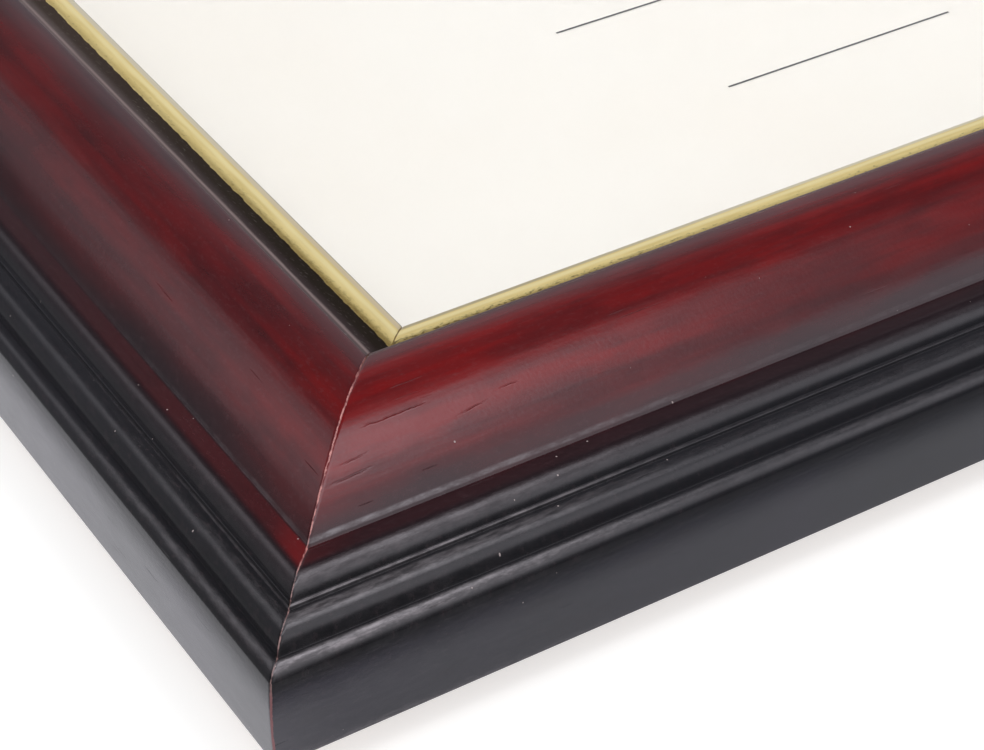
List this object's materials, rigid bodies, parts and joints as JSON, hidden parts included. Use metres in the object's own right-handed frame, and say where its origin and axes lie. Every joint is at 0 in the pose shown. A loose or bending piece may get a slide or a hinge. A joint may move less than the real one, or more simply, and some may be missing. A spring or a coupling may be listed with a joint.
{
  "type": "certificate frame",
  "caption": "Mitred wood certificate frame with a domed, beaded moulding and gilt lip, glazed, with turn buttons, D-ring hangers and bumpers on the back.",
  "frame": {"origin": "centre of the footprint, on the plane that the bumpers rest on", "axes": "+Z out of the frame's front face, +X along the certificate's width, +Y towards its top edge"},
  "size_m": [0.4332, 0.357, 0.0343],
  "materials": {
    "finished_wood": "satin lacquer, dark red dome over black beads and sides, gilt lip",
    "glass": "clear",
    "certificate_paper": "matte parchment paper",
    "rag_board": "matte board",
    "foam_core": "paper-faced foam",
    "hardboard": "plain hardboard",
    "bright_steel": "plain",
    "screw_steel": "zinc plated",
    "zinc_plate": "zinc plated",
    "ring_wire": "zinc plated",
    "bumper_rubber": "matte"
  },
  "bodies": {
    "frame": {"bottom_rail": "finished_wood", "right_rail": "finished_wood", "top_rail": "finished_wood", "left_rail": "finished_wood", "glazing": "glass", "certificate": "certificate_paper", "mount_board": "rag_board", "foam_board": "foam_core", "back_panel": "hardboard", "v_nails": "bright_steel", "button_screws": "screw_steel", "hanger_strap_left": "zinc_plate", "hanger_strap_right": "zinc_plate", "hanger_screws": "screw_steel", "bumper_top_left": "bumper_rubber", "bumper_top_right": "bumper_rubber", "bumper_bottom_left": "bumper_rubber", "bumper_bottom_right": "bumper_rubber"},
    "turn_button_top_left": {"turn_button_top_left": "zinc_plate"},
    "turn_button_top_right": {"turn_button_top_right": "zinc_plate"},
    "turn_button_right_upper": {"turn_button_right_upper": "zinc_plate"},
    "turn_button_right_lower": {"turn_button_right_lower": "zinc_plate"},
    "turn_button_bottom_right": {"turn_button_bottom_right": "zinc_plate"},
    "turn_button_bottom_left": {"turn_button_bottom_left": "zinc_plate"},
    "turn_button_left_lower": {"turn_button_left_lower": "zinc_plate"},
    "turn_button_left_upper": {"turn_button_left_upper": "zinc_plate"},
    "d_ring_left": {"d_ring_left": "ring_wire"},
    "d_ring_right": {"d_ring_right": "ring_wire"}
  },
  "joints": [
    {"name": "button_top_left_turn", "type": "hinge", "parent": "frame", "child": "turn_button_top_left", "pos_m": [-0.11645, 0.1495, 0.0035], "axis": [0, 0, 1], "continuous": true},
    {"name": "button_top_right_turn", "type": "hinge", "parent": "frame", "child": "turn_button_top_right", "pos_m": [0.11645, 0.1495, 0.0035], "axis": [0, 0, 1], "continuous": true},
    {"name": "button_right_upper_turn", "type": "hinge", "parent": "frame", "child": "turn_button_right_upper", "pos_m": [0.1876, 0.07835, 0.0035], "axis": [0, 0, 1], "continuous": true},
    {"name": "button_right_lower_turn", "type": "hinge", "parent": "frame", "child": "turn_button_right_lower", "pos_m": [0.1876, -0.07835, 0.0035], "axis": [0, 0, 1], "continuous": true},
    {"name": "button_bottom_right_turn", "type": "hinge", "parent": "frame", "child": "turn_button_bottom_right", "pos_m": [0.11645, -0.1495, 0.0035], "axis": [0, 0, 1], "continuous": true},
    {"name": "button_bottom_left_turn", "type": "hinge", "parent": "frame", "child": "turn_button_bottom_left", "pos_m": [-0.11645, -0.1495, 0.0035], "axis": [0, 0, 1], "continuous": true},
    {"name": "button_left_lower_turn", "type": "hinge", "parent": "frame", "child": "turn_button_left_lower", "pos_m": [-0.1876, -0.07835, 0.0035], "axis": [0, 0, 1], "continuous": true},
    {"name": "button_left_upper_turn", "type": "hinge", "parent": "frame", "child": "turn_button_left_upper", "pos_m": [-0.1876, 0.07835, 0.0035], "axis": [0, 0, 1], "continuous": true},
    {"name": "d_ring_left_swing", "type": "hinge", "parent": "frame", "child": "d_ring_left", "pos_m": [-0.19945, 0.03053, 0.0028], "axis": [-1, 0, 0], "range_deg": [0, 170]},
    {"name": "d_ring_right_swing", "type": "hinge", "parent": "frame", "child": "d_ring_right", "pos_m": [0.19945, 0.03053, 0.0028], "axis": [-1, 0, 0], "range_deg": [0, 170]}
  ]
}
